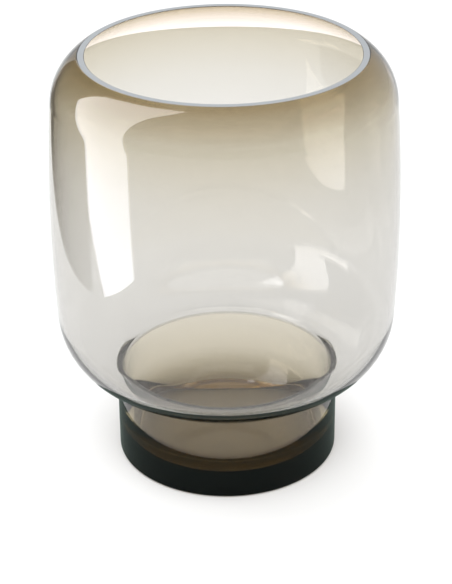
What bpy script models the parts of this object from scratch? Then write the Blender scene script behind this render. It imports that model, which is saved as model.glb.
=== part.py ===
"""Footed glass vase: a barrel-shaped bowl with a narrowed open mouth, on a short, thick, hollow foot.

The vase is two turned glass pieces, fused at the neck on the real object:
  bowl  thin blown wall, ground flat at the rim, down to a short open ring below the neck
  foot  thick cup whose hollow is open to the bowl

The frame has +Z up along the turning axis, and its origin is the centre of the foot's underside.
Units are metres.
"""

import math

import bpy
from mathutils import Vector

# Driving dimensions
HEIGHT = 0.210
BOWL_RADIUS = 0.0843
BULGE_HEIGHT = 0.119          # height of the widest ring of the bowl
RIM_RADIUS = 0.0675
RIM_INNER_RADIUS = 0.0643
FOOT_RADIUS = 0.0552
NECK_HEIGHT = 0.0455          # crease where the bowl's underside turns down into the foot
NECK_INNER_RADIUS = 0.0520
JOINT_HEIGHT = 0.0440         # the bowl's piece ends in a short ring here
JOINT_GAP = 0.0003            # the fused joint is drawn as a hairline gap between the two solids

# Bowl walls
SIDE_ARC = 0.820              # the sides are almost straight
SHOULDER_ARC = 0.0271
LOWER_ARC = 0.0339
SIDE_THICKNESS = 0.0020
INNER_SHOULDER_ARC = 0.0258
INNER_LOWER_ARC = 0.0319
NECK_LIP_ARC = 0.0030         # soft inner edge where the bowl turns down into the foot

# Foot
FLOOR_HEIGHT = 0.0055         # thickness of the base under the hollow
HOLLOW_RADIUS = 0.0505        # just above the rounded inner corner
HOLLOW_CORNER_ARC = 0.0220
FOOT_EDGE_ARC = 0.0012

# Steps of the curved stretches
TURN_STEPS = 64
SIDE_STEPS = 6
SHOULDER_STEPS = 8
LOWER_STEPS = 10
LIP_STEPS = 4
FOOT_EDGE_STEPS = 3
HOLLOW_CORNER_STEPS = 9

# Materials
BOWL_COLOUR = (0.78, 0.72, 0.60)
FOOT_COLOUR = (0.42, 0.36, 0.27)
GLASS_ROUGHNESS = 0.02
GLASS_IOR = 1.52

# Modifiers
MERGE_DISTANCE = 0.00001      # joins the turned wall's first and last profiles
FACE_AREA_WEIGHT = 100        # keeps the flat rim and base looking flat beside the curved walls


def clear_scene():
    for scene_object in list(bpy.data.objects):
        bpy.data.objects.remove(scene_object, do_unlink=True)


def new_collection(name):
    collection = bpy.data.collections.new(name)
    bpy.context.scene.collection.children.link(collection)
    return collection


def glass_material(name, colour):
    material = bpy.data.materials.new(name)
    material.use_nodes = True
    shader = material.node_tree.nodes["Principled BSDF"]
    shader.inputs["Base Color"].default_value = (*colour, 1.0)
    shader.inputs["Roughness"].default_value = GLASS_ROUGHNESS
    shader.inputs["Metallic"].default_value = 0.0
    shader.inputs["IOR"].default_value = GLASS_IOR
    shader.inputs["Transmission Weight"].default_value = 1.0
    return material


def circle_crossing(centre_a, radius_a, centre_b, radius_b, upper):
    """Crossing of two circles in the profile plane: the one further along +Z, or the other."""
    across = centre_b - centre_a
    distance = across.length
    along = (radius_a**2 - radius_b**2 + distance**2) / (2.0 * distance)
    aside = math.sqrt(radius_a**2 - along**2)
    unit = across / distance
    normal = Vector((-unit.y, unit.x))
    foot = centre_a + unit * along
    crossings = sorted((foot + normal * aside, foot - normal * aside), key=lambda point: point.y)
    return crossings[1] if upper else crossings[0]


def angle_of(centre, point):
    return math.atan2(point.y - centre.y, point.x - centre.x)


def arc(centre, radius, start, end, steps):
    """Points along an arc from angle start to angle end, both ends included."""
    points = []
    for step in range(steps + 1):
        angle = start + (end - start) * step / steps
        points.append(centre + Vector((math.cos(angle), math.sin(angle))) * radius)
    return points


def side_centre():
    """Centre that the outer and inner side arcs share, far beyond the axis."""
    return Vector((BOWL_RADIUS - SIDE_ARC, BULGE_HEIGHT))


def outer_wall():
    """Rim to joint down the outside: shoulder, side and lower arcs, each tangent to the next."""
    sides = side_centre()
    rim = Vector((RIM_RADIUS, HEIGHT))
    neck = Vector((FOOT_RADIUS, NECK_HEIGHT))
    shoulder = circle_crossing(sides, SIDE_ARC - SHOULDER_ARC, rim, SHOULDER_ARC, upper=False)
    lower = circle_crossing(sides, SIDE_ARC - LOWER_ARC, neck, LOWER_ARC, upper=True)
    shoulder_end = angle_of(sides, shoulder)
    lower_start = angle_of(sides, lower)
    points = arc(shoulder, SHOULDER_ARC, angle_of(shoulder, rim), shoulder_end, SHOULDER_STEPS)
    points += arc(sides, SIDE_ARC, shoulder_end, lower_start, SIDE_STEPS)[1:]
    points += arc(lower, LOWER_ARC, lower_start, angle_of(lower, neck), LOWER_STEPS)[1:]
    points += [Vector((FOOT_RADIUS, JOINT_HEIGHT))]
    return points


def inner_wall():
    """Joint to rim up the inside: a convex lip at the neck, then the lower, side and shoulder arcs."""
    sides = side_centre()
    side_radius = SIDE_ARC - SIDE_THICKNESS
    rim = Vector((RIM_INNER_RADIUS, HEIGHT))
    lip = Vector((NECK_INNER_RADIUS + NECK_LIP_ARC, NECK_HEIGHT))
    lower_reach = side_radius - INNER_LOWER_ARC
    shoulder_reach = side_radius - INNER_SHOULDER_ARC
    lower = circle_crossing(sides, lower_reach, lip, INNER_LOWER_ARC + NECK_LIP_ARC, upper=True)
    shoulder = circle_crossing(sides, shoulder_reach, rim, INNER_SHOULDER_ARC, upper=False)
    lip_end = angle_of(lip, lower)
    lower_end = angle_of(sides, lower)
    shoulder_start = angle_of(sides, shoulder)
    shoulder_end = angle_of(shoulder, rim)
    points = [Vector((NECK_INNER_RADIUS, JOINT_HEIGHT))]
    points += arc(lip, NECK_LIP_ARC, math.pi, lip_end, LIP_STEPS)
    points += arc(lower, INNER_LOWER_ARC, lip_end - math.pi, lower_end, LOWER_STEPS)[1:]
    points += arc(sides, side_radius, lower_end, shoulder_start, SIDE_STEPS)[1:]
    points += arc(shoulder, INNER_SHOULDER_ARC, shoulder_start, shoulder_end, SHOULDER_STEPS)[1:]
    return points


def foot_profile():
    """Axis to axis: out along the hollow's floor, up its wall, over the top and down the outside."""
    top = JOINT_HEIGHT - JOINT_GAP
    corner = Vector((HOLLOW_RADIUS - HOLLOW_CORNER_ARC, FLOOR_HEIGHT + HOLLOW_CORNER_ARC))
    edge = Vector((FOOT_RADIUS - FOOT_EDGE_ARC, FOOT_EDGE_ARC))
    points = [Vector((0.0, FLOOR_HEIGHT))]
    points += arc(corner, HOLLOW_CORNER_ARC, -math.pi / 2.0, 0.0, HOLLOW_CORNER_STEPS)
    points += [Vector((NECK_INNER_RADIUS, top)), Vector((FOOT_RADIUS, top))]
    points += arc(edge, FOOT_EDGE_ARC, 0.0, -math.pi / 2.0, FOOT_EDGE_STEPS)
    points += [Vector((0.0, 0.0))]
    return points


def turned_piece(name, profile, closed, material, collection):
    """Object with the profile in its XZ plane and a Screw modifier that turns it about Z."""
    vertices = [(point.x, 0.0, point.y) for point in profile]
    edges = [(index, index + 1) for index in range(len(vertices) - 1)]
    if closed:
        edges.append((len(vertices) - 1, 0))
    mesh = bpy.data.meshes.new(name)
    mesh.from_pydata(vertices, edges, [])
    mesh.materials.append(material)
    piece = bpy.data.objects.new(name, mesh)
    collection.objects.link(piece)
    screw = piece.modifiers.new("Turn", "SCREW")
    screw.axis = "Z"
    screw.angle = 2.0 * math.pi
    screw.steps = TURN_STEPS
    screw.render_steps = TURN_STEPS
    screw.use_smooth_shade = True
    screw.use_merge_vertices = True
    screw.merge_threshold = MERGE_DISTANCE
    shading = piece.modifiers.new("Even shading", "WEIGHTED_NORMAL")
    shading.weight = FACE_AREA_WEIGHT


def main():
    clear_scene()
    vase = new_collection("footed_glass_vase")
    bowl_glass = glass_material("bowl_smoke_glass", BOWL_COLOUR)
    foot_glass = glass_material("foot_smoke_glass", FOOT_COLOUR)
    turned_piece("bowl", outer_wall() + inner_wall(), True, bowl_glass, vase)
    turned_piece("foot", foot_profile(), False, foot_glass, vase)


main()
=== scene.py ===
"""Footed glass vase, smoke-brown at the shoulder and in the thick foot, under soft studio light.

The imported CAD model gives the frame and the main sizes. The two CAD nodes are replaced by finely
turned glass pieces of the same shape, apart from a small fillet outside the neck, and a thin skin
on the rim stands for its ground surface. Units are metres, with +Z up and the origin at the centre
of the foot's underside.
"""
import math

import bmesh
import bpy
from mathutils import Matrix, Vector


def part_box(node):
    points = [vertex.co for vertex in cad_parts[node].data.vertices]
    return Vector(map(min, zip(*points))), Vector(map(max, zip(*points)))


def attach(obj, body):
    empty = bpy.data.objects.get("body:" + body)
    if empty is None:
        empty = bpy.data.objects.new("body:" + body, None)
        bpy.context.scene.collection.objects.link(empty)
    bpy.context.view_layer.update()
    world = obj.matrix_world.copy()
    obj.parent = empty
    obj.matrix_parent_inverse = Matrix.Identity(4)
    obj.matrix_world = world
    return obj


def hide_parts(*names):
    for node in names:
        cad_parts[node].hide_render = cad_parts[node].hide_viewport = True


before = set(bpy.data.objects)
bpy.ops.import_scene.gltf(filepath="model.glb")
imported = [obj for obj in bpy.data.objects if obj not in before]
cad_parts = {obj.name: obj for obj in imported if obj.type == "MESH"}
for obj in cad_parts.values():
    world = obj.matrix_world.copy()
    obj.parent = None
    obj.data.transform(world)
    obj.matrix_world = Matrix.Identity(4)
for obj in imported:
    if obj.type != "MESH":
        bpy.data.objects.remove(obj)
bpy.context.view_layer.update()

# Sizes read from the frame
bowl_low, bowl_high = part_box("bowl")
foot_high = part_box("foot")[1]
BOWL_RADIUS = bowl_high[0]
HEIGHT = bowl_high[2]
FOOT_RADIUS = foot_high[0]
JOINT_HEIGHT = bowl_low[2]

# Bowl, as in the CAD model
NECK_HEIGHT = 0.0455
BULGE_HEIGHT = 0.119
RIM_RADIUS = 0.0675
RIM_INNER_RADIUS = 0.0643
SIDE_ARC = 0.820
SHOULDER_ARC = 0.0271
LOWER_ARC = 0.0339
SIDE_THICKNESS = 0.0020
INNER_SHOULDER_ARC = 0.0258
INNER_LOWER_ARC = 0.0319
NECK_INNER_RADIUS = 0.0520
NECK_LIP_ARC = 0.0030
NECK_FILLET_ARC = 0.0012      # softens the crease outside, which the CAD model leaves sharp

# Foot, as in the CAD model
FLOOR_HEIGHT = 0.0055
HOLLOW_RADIUS = 0.0505
HOLLOW_CORNER_ARC = 0.0220
FOOT_EDGE_ARC = 0.0012

# Smoothness of the turned pieces
TURN_STEPS = 192
ARC_STEPS = 36
SMALL_ARC_STEPS = 8
MERGE_DISTANCE = 0.000001
SHARP_ANGLE = math.radians(40.0)
JOINT_OVERLAP = 0.00005       # each piece runs this far past the joint, so that the two meet

# Glass: an even absorption, and a surface tint that changes over the height
GLASS_IOR = 1.5
BOWL_SMOKE = (0.32, 0.30, 0.25)
BOWL_DENSITY = 130.0
BOWL_TINT = (                 # height as a share of the vase's, and colour
    (0.0, (1.0, 1.0, 1.0)),
    (0.60, (0.99, 0.985, 0.97)),
    (0.80, (0.90, 0.88, 0.83)),
    (0.93, (0.79, 0.73, 0.58)),
    (0.985, (0.40, 0.31, 0.17)),
)
FOOT_SMOKE = (0.45, 0.33, 0.0)
FOOT_DENSITY = 124.0
FOOT_TINT = (
    (0.0, (0.86, 0.81, 0.74)),
    (0.03, (0.92, 0.89, 0.85)),
    (0.08, (1.0, 1.0, 1.0)),
)

# Ground rim: a satin skin over the flat top of the bowl
GROUND_DEPTH = 0.0001         # how far the bowl stops below the full height
GROUND_SKIN = 0.00012         # thickness of the skin, which ends at the full height
GROUND_INSET = 0.0002
GROUND_COLOUR = (0.34, 0.36, 0.38)
GROUND_ROUGHNESS = 0.45

# Table
TABLE_RADIUS = 4.0
TABLE_SEGMENTS = 128
TABLE_LEVEL = -0.0002
TABLE_COLOUR = (0.9, 0.9, 0.9)
TABLE_ROUGHNESS = 0.6
TABLE_GLOSS = 0.2

# Lights
ROOM_LIGHT = 0.70
KEY_POWER = 7.0
KEY_PLACE = (-0.9, 0.9, 1.2)
KEY_AIM = (0.0, 0.0, 0.05)
KEY_SIDE = 1.4
CEILING_POWER = 46.0
CEILING_PLACE = (0.0, -1.0, 2.2)
CEILING_AIM = (0.0, -0.3, 0.0)
CEILING_SIDE = 3.0

# Cards. The upright ones stand at the left, at a distance along X, and their outlines are Y and Z.
BLACK = (0.0, 0.0, 0.0)
DARK_CARD_LEVEL = -0.0001
DARK_CARD_RADIUS = 0.086
DARK_CARD_COLOUR = (0.16, 0.20, 0.185)
PAPER_LEVEL = -0.00015
PAPER_START = 0.65
PAPER_END = 1.3
PAPER_SPREAD = math.radians(30.0)
PAPER_GLOW = 1.1
PAPER_GLOW_COLOUR = (0.95, 0.98, 1.4)
WALL_DISTANCE = 0.275
WALL_COLOUR = (0.22, 0.20, 0.17)
WALL_OUTLINE = ((-0.03, 0.0), (0.45, 0.0), (0.45, 0.9), (-0.03, 0.9))
LOW_WINDOW_DISTANCE = 0.185
LOW_WINDOW_OUTLINE = (
    (-0.070, 0.000),
    (-0.079, 0.021),
    (-0.060, 0.028),
    (-0.057, 0.043),
    (0.075, 0.043),
    (0.066, 0.000),
)
WINDOW_STRENGTH = 5.5
WINDOW_COLOUR = (0.97, 0.97, 1.03)
WINDOW_DISTANCE = 0.27
WINDOW_OUTLINE = (
    (-0.20, 0.00),
    (-0.155, 0.26),
    (-0.15, 0.78),
    (-0.10, 1.25),
    (0.00, 0.67),
    (0.075, 0.42),
    (0.075, 0.28),
    (-0.014, 0.13),
    (-0.03, 0.07),
    (-0.077, 0.00),
)

# Limits on bounce counts, each halfway between two whole numbers
ONE_REFLECTION = 0.5
BOTH_WALLS = 4.5              # a straight way through both walls of the bowl takes four bounces
ONE_WALL = 2.5                # a straight way through one wall takes two

# Rendering
MAX_BOUNCES = 24
GLOSSY_BOUNCES = 12

# Camera
SENSOR_WIDTH = 36.0
LENS = 108.0
NEAR_CLIP = 0.01
FAR_CLIP = 100.0
CAMERA_DISTANCE = 3.64 * HEIGHT
CAMERA_HEIGHT = 2.346 * HEIGHT
CAMERA_PITCH = math.radians(61.89)
CAMERA_ROLL = math.radians(-0.594)


def make_camera():
    data = bpy.data.cameras.new("camera")
    data.lens = LENS
    data.sensor_width = SENSOR_WIDTH
    data.clip_start = NEAR_CLIP
    data.clip_end = FAR_CLIP
    camera = bpy.data.objects.new("camera", data)
    place = Matrix.Translation((0.0, -CAMERA_DISTANCE, CAMERA_HEIGHT))
    pitch = Matrix.Rotation(CAMERA_PITCH, 4, "X")
    roll = Matrix.Rotation(CAMERA_ROLL, 4, "Z")
    camera.matrix_world = place @ pitch @ roll
    bpy.context.scene.collection.objects.link(camera)
    bpy.context.scene.camera = camera


def circle_crossing(centre_a, radius_a, centre_b, radius_b, upper):
    """Crossing of two circles in the profile plane: the higher one, or the lower."""
    across = centre_b - centre_a
    distance = across.length
    along = (radius_a**2 - radius_b**2 + distance**2) / (2.0 * distance)
    aside = math.sqrt(radius_a**2 - along**2)
    unit = across / distance
    normal = Vector((-unit.y, unit.x))
    base = centre_a + unit * along
    crossings = sorted((base + normal * aside, base - normal * aside), key=lambda point: point.y)
    return crossings[1] if upper else crossings[0]


def angle_of(centre, point):
    return math.atan2(point.y - centre.y, point.x - centre.x)


def arc(centre, radius, start, end, steps):
    points = []
    for step in range(steps + 1):
        angle = start + (end - start) * step / steps
        points.append(centre + Vector((math.cos(angle), math.sin(angle))) * radius)
    return points


def beside(centre, distance, radius):
    """Point below centre, at that distance from it and that radius from the axis."""
    across = radius - centre.x
    return Vector((radius, centre.y - math.sqrt(distance**2 - across**2)))


def side_centre():
    return Vector((BOWL_RADIUS - SIDE_ARC, BULGE_HEIGHT))


def outer_wall():
    """Rim to neck down the outside."""
    sides = side_centre()
    rim = Vector((RIM_RADIUS, HEIGHT - GROUND_DEPTH))
    crease = Vector((FOOT_RADIUS, NECK_HEIGHT))
    shoulder = circle_crossing(sides, SIDE_ARC - SHOULDER_ARC, rim, SHOULDER_ARC, upper=False)
    lower = circle_crossing(sides, SIDE_ARC - LOWER_ARC, crease, LOWER_ARC, upper=True)
    fillet = beside(lower, LOWER_ARC + NECK_FILLET_ARC, FOOT_RADIUS + NECK_FILLET_ARC)
    shoulder_end = angle_of(sides, shoulder)
    lower_start = angle_of(sides, lower)
    lower_end = angle_of(lower, fillet)
    points = arc(shoulder, SHOULDER_ARC, angle_of(shoulder, rim), shoulder_end, ARC_STEPS)
    points += arc(sides, SIDE_ARC, shoulder_end, lower_start, ARC_STEPS)[1:]
    points += arc(lower, LOWER_ARC, lower_start, lower_end, ARC_STEPS)[1:]
    points += arc(fillet, NECK_FILLET_ARC, lower_end + math.pi, math.pi, SMALL_ARC_STEPS)[1:]
    return points


def inner_wall():
    """Joint to rim up the inside."""
    sides = side_centre()
    side_radius = SIDE_ARC - SIDE_THICKNESS
    rim = Vector((RIM_INNER_RADIUS, HEIGHT - GROUND_DEPTH))
    lip = Vector((NECK_INNER_RADIUS + NECK_LIP_ARC, NECK_HEIGHT))
    lower_reach = side_radius - INNER_LOWER_ARC
    shoulder_reach = side_radius - INNER_SHOULDER_ARC
    lower = circle_crossing(sides, lower_reach, lip, INNER_LOWER_ARC + NECK_LIP_ARC, upper=True)
    shoulder = circle_crossing(sides, shoulder_reach, rim, INNER_SHOULDER_ARC, upper=False)
    lip_end = angle_of(lip, lower)
    lower_end = angle_of(sides, lower)
    shoulder_start = angle_of(sides, shoulder)
    shoulder_end = angle_of(shoulder, rim)
    points = [Vector((NECK_INNER_RADIUS, JOINT_HEIGHT - JOINT_OVERLAP))]
    points += arc(lip, NECK_LIP_ARC, math.pi, lip_end, SMALL_ARC_STEPS)
    points += arc(lower, INNER_LOWER_ARC, lip_end - math.pi, lower_end, ARC_STEPS)[1:]
    points += arc(sides, side_radius, lower_end, shoulder_start, ARC_STEPS)[1:]
    points += arc(shoulder, INNER_SHOULDER_ARC, shoulder_start, shoulder_end, ARC_STEPS)[1:]
    return points


def foot_profile():
    """Axis to axis: out along the hollow's floor, up its wall, over the top and down the outside."""
    top = JOINT_HEIGHT + JOINT_OVERLAP
    corner = Vector((HOLLOW_RADIUS - HOLLOW_CORNER_ARC, FLOOR_HEIGHT + HOLLOW_CORNER_ARC))
    edge = Vector((FOOT_RADIUS - FOOT_EDGE_ARC, FOOT_EDGE_ARC))
    points = [Vector((0.0, FLOOR_HEIGHT))]
    points += arc(corner, HOLLOW_CORNER_ARC, -math.pi / 2.0, 0.0, ARC_STEPS)
    points += [Vector((NECK_INNER_RADIUS, top)), Vector((FOOT_RADIUS, top))]
    points += arc(edge, FOOT_EDGE_ARC, 0.0, -math.pi / 2.0, SMALL_ARC_STEPS)
    points += [Vector((0.0, 0.0))]
    return points


def turned(name, profile, closed):
    """The profile turned about Z into one closed mesh object, smooth except at its sharp edges."""
    mesh_maker = bmesh.new()
    vertices = [mesh_maker.verts.new((point.x, 0.0, point.y)) for point in profile]
    pairs = list(zip(vertices[:-1], vertices[1:]))
    if closed:
        pairs.append((vertices[-1], vertices[0]))
    edges = [mesh_maker.edges.new(pair) for pair in pairs]
    bmesh.ops.spin(
        mesh_maker,
        geom=vertices + edges,
        cent=(0.0, 0.0, 0.0),
        axis=(0.0, 0.0, 1.0),
        dvec=(0.0, 0.0, 0.0),
        angle=2.0 * math.pi,
        steps=TURN_STEPS,
    )
    bmesh.ops.remove_doubles(mesh_maker, verts=mesh_maker.verts, dist=MERGE_DISTANCE)
    bmesh.ops.recalc_face_normals(mesh_maker, faces=mesh_maker.faces)
    mesh = bpy.data.meshes.new(name)
    mesh_maker.to_mesh(mesh)
    mesh_maker.free()
    mesh.shade_smooth()
    mesh.set_sharp_from_angle(angle=SHARP_ANGLE)
    piece = bpy.data.objects.new(name, mesh)
    bpy.context.scene.collection.objects.link(piece)
    return piece


def smoke_glass(name, smoke, density, tint):
    """Clear glass that absorbs evenly inside and has a tint over the height of the vase."""
    material = bpy.data.materials.new(name)
    material.use_nodes = True
    nodes = material.node_tree.nodes
    links = material.node_tree.links
    shader = nodes["Principled BSDF"]
    shader.inputs["Transmission Weight"].default_value = 1.0
    shader.inputs["Roughness"].default_value = 0.0
    shader.inputs["IOR"].default_value = GLASS_IOR
    place = nodes.new("ShaderNodeTexCoord")
    split = nodes.new("ShaderNodeSeparateXYZ")
    links.new(place.outputs["Object"], split.inputs["Vector"])
    height = nodes.new("ShaderNodeMapRange")
    height.inputs["From Min"].default_value = 0.0
    height.inputs["From Max"].default_value = HEIGHT
    links.new(split.outputs["Z"], height.inputs["Value"])
    ramp = nodes.new("ShaderNodeValToRGB")
    ramp.color_ramp.interpolation = "B_SPLINE"
    while len(ramp.color_ramp.elements) < len(tint):
        ramp.color_ramp.elements.new(0.5)
    for element, (position, colour) in zip(ramp.color_ramp.elements, tint):
        element.position = position
        element.color = (*colour, 1.0)
    links.new(height.outputs["Result"], ramp.inputs["Fac"])
    links.new(ramp.outputs["Color"], shader.inputs["Base Color"])
    absorption = nodes.new("ShaderNodeVolumeAbsorption")
    absorption.inputs["Color"].default_value = (*smoke, 1.0)
    absorption.inputs["Density"].default_value = density
    links.new(absorption.outputs["Volume"], nodes["Material Output"].inputs["Volume"])
    return material


def ground_glass():
    """Satin grey, as glass looks where it is ground flat."""
    material = bpy.data.materials.new("ground_rim_glass")
    material.use_nodes = True
    shader = material.node_tree.nodes["Principled BSDF"]
    shader.inputs["Base Color"].default_value = (*GROUND_COLOUR, 1.0)
    shader.inputs["Roughness"].default_value = GROUND_ROUGHNESS
    shader.inputs["IOR"].default_value = GLASS_IOR
    return material


def rim_profile():
    """Section of the thin satin skin on the flat rim."""
    inner = RIM_INNER_RADIUS + GROUND_INSET
    outer = RIM_RADIUS - GROUND_INSET
    low = HEIGHT - GROUND_SKIN
    corners = ((inner, low), (outer, low), (outer, HEIGHT), (inner, HEIGHT))
    return [Vector(corner) for corner in corners]


def make_bowl():
    joint_edge = [Vector((FOOT_RADIUS, JOINT_HEIGHT - JOINT_OVERLAP))]
    bowl = turned("bowl_glass", outer_wall() + joint_edge + inner_wall(), True)
    bowl.data.materials.append(smoke_glass("bowl_smoke_glass", BOWL_SMOKE, BOWL_DENSITY, BOWL_TINT))
    # The table's shadows and diffuse light leave the bowl out
    bowl.visible_shadow = False
    bowl.visible_diffuse = False
    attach(bowl, "root")
    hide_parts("bowl")


def make_foot():
    foot = turned("foot_glass", foot_profile(), False)
    foot.data.materials.append(smoke_glass("foot_smoke_glass", FOOT_SMOKE, FOOT_DENSITY, FOOT_TINT))
    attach(foot, "root")
    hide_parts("foot")


def make_ground_rim():
    rim = turned("ground_rim", rim_profile(), True)
    rim.data.materials.append(ground_glass())
    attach(rim, "root")


def make_floor():
    mesh = bpy.data.meshes.new("floor")
    mesh_maker = bmesh.new()
    bmesh.ops.create_circle(
        mesh_maker,
        cap_ends=True,
        segments=TABLE_SEGMENTS,
        radius=TABLE_RADIUS,
    )
    mesh_maker.to_mesh(mesh)
    mesh_maker.free()
    floor = bpy.data.objects.new("floor", mesh)
    floor.location.z = TABLE_LEVEL
    bpy.context.scene.collection.objects.link(floor)
    material = bpy.data.materials.new("white_table")
    material.use_nodes = True
    shader = material.node_tree.nodes["Principled BSDF"]
    shader.inputs["Base Color"].default_value = (*TABLE_COLOUR, 1.0)
    shader.inputs["Roughness"].default_value = TABLE_ROUGHNESS
    shader.inputs["Specular IOR Level"].default_value = TABLE_GLOSS
    floor.data.materials.append(material)


def area_light(name, place, aim, side, power):
    data = bpy.data.lights.new(name, "AREA")
    data.size = side
    data.energy = power
    light = bpy.data.objects.new(name, data)
    light.location = place
    direction = Vector(aim) - Vector(place)
    light.rotation_euler = direction.to_track_quat("-Z", "Y").to_euler()
    bpy.context.scene.collection.objects.link(light)
    return light


def card(name, corners, colour, glow_colour, glow):
    """A flat card, hidden from the camera and from diffuse and shadow rays. A glow of 0 is dark."""
    mesh = bpy.data.meshes.new(name)
    mesh_maker = bmesh.new()
    mesh_maker.faces.new([mesh_maker.verts.new(corner) for corner in corners])
    mesh_maker.to_mesh(mesh)
    mesh_maker.free()
    stage_card = bpy.data.objects.new(name, mesh)
    bpy.context.scene.collection.objects.link(stage_card)
    material = bpy.data.materials.new(name)
    material.use_nodes = True
    shader = material.node_tree.nodes["Principled BSDF"]
    shader.inputs["Base Color"].default_value = (*colour, 1.0)
    shader.inputs["Specular IOR Level"].default_value = 0.0
    shader.inputs["Emission Color"].default_value = (*glow_colour, 1.0)
    shader.inputs["Emission Strength"].default_value = glow
    stage_card.data.materials.append(material)
    stage_card.visible_camera = False
    stage_card.visible_diffuse = False
    stage_card.visible_shadow = False
    return stage_card


def show_after(stage_card, bounces, comparison, limit):
    """Makes the card clear, except to rays whose count of such bounces passes the comparison."""
    tree = stage_card.data.materials[0].node_tree
    path = tree.nodes.new("ShaderNodeLightPath")
    shown = tree.nodes.new("ShaderNodeMath")
    shown.operation = comparison
    shown.inputs[1].default_value = limit
    clear = tree.nodes.new("ShaderNodeBsdfTransparent")
    mix = tree.nodes.new("ShaderNodeMixShader")
    tree.links.new(path.outputs[bounces], shown.inputs[0])
    tree.links.new(shown.outputs["Value"], mix.inputs["Fac"])
    tree.links.new(clear.outputs["BSDF"], mix.inputs[1])
    tree.links.new(tree.nodes["Principled BSDF"].outputs["BSDF"], mix.inputs[2])
    tree.links.new(mix.outputs["Shader"], tree.nodes["Material Output"].inputs["Surface"])


def upright(distance, outline):
    """Corners of an upright card at that distance to the left of the axis."""
    return [(-distance, y, z) for y, z in outline]


def level_arc(radius, start, end, height):
    """Points along an arc about the vase's axis, all at one height."""
    points = arc(Vector((0.0, 0.0)), radius, start, end, ARC_STEPS)
    return [(point.x, point.y, height) for point in points]


def make_windows():
    """A tall window, seen only in reflections, and a low one, seen only past BOTH_WALLS bounces."""
    corners = upright(WINDOW_DISTANCE, WINDOW_OUTLINE)
    window = card("window", corners, BLACK, WINDOW_COLOUR, WINDOW_STRENGTH)
    show_after(window, "Glossy Depth", "GREATER_THAN", ONE_REFLECTION)
    corners = upright(LOW_WINDOW_DISTANCE, LOW_WINDOW_OUTLINE)
    low_window = card("low_window", corners, BLACK, WINDOW_COLOUR, WINDOW_STRENGTH)
    show_after(low_window, "Ray Depth", "GREATER_THAN", BOTH_WALLS)


def make_wall():
    """A dark wall just beyond the tall window, reaching further back, seen only in reflections."""
    wall = card("wall", upright(WALL_DISTANCE, WALL_OUTLINE), WALL_COLOUR, BLACK, 0.0)
    show_after(wall, "Glossy Depth", "GREATER_THAN", ONE_REFLECTION)


def make_paper():
    """Bright paper on the table behind the vase, seen through one wall of glass but not two."""
    right = math.pi / 2.0 - PAPER_SPREAD
    left = math.pi / 2.0 + PAPER_SPREAD
    near = level_arc(PAPER_START, right, left, PAPER_LEVEL)
    far = level_arc(PAPER_END, left, right, PAPER_LEVEL)
    paper = card("backdrop", near + far, TABLE_COLOUR, PAPER_GLOW_COLOUR, PAPER_GLOW)
    paper.visible_glossy = False
    show_after(paper, "Transmission Depth", "LESS_THAN", ONE_WALL)


def make_dark_card():
    """A dark disc on the table around the foot, seen only in reflections."""
    corners = level_arc(DARK_CARD_RADIUS, 0.0, 2.0 * math.pi, DARK_CARD_LEVEL)[1:]
    dark_card = card("dark_card", corners, DARK_CARD_COLOUR, BLACK, 0.0)
    dark_card.visible_transmission = False


def make_light():
    world = bpy.data.worlds.new("studio")
    world.use_nodes = True
    background = world.node_tree.nodes["Background"]
    background.inputs["Color"].default_value = (1.0, 1.0, 1.0, 1.0)
    background.inputs["Strength"].default_value = ROOM_LIGHT
    bpy.context.scene.world = world
    area_light("key", KEY_PLACE, KEY_AIM, KEY_SIDE, KEY_POWER)
    ceiling = area_light("ceiling", CEILING_PLACE, CEILING_AIM, CEILING_SIDE, CEILING_POWER)
    ceiling.visible_glossy = False


def main():
    make_camera()
    make_bowl()
    make_foot()
    make_ground_rim()
    make_floor()
    make_windows()
    make_wall()
    make_paper()
    make_dark_card()
    make_light()
    scene = bpy.context.scene
    scene.view_settings.view_transform = "Standard"
    scene.cycles.max_bounces = MAX_BOUNCES
    scene.cycles.transmission_bounces = MAX_BOUNCES
    scene.cycles.glossy_bounces = GLOSSY_BOUNCES
    scene.cycles.use_denoising = True


main()
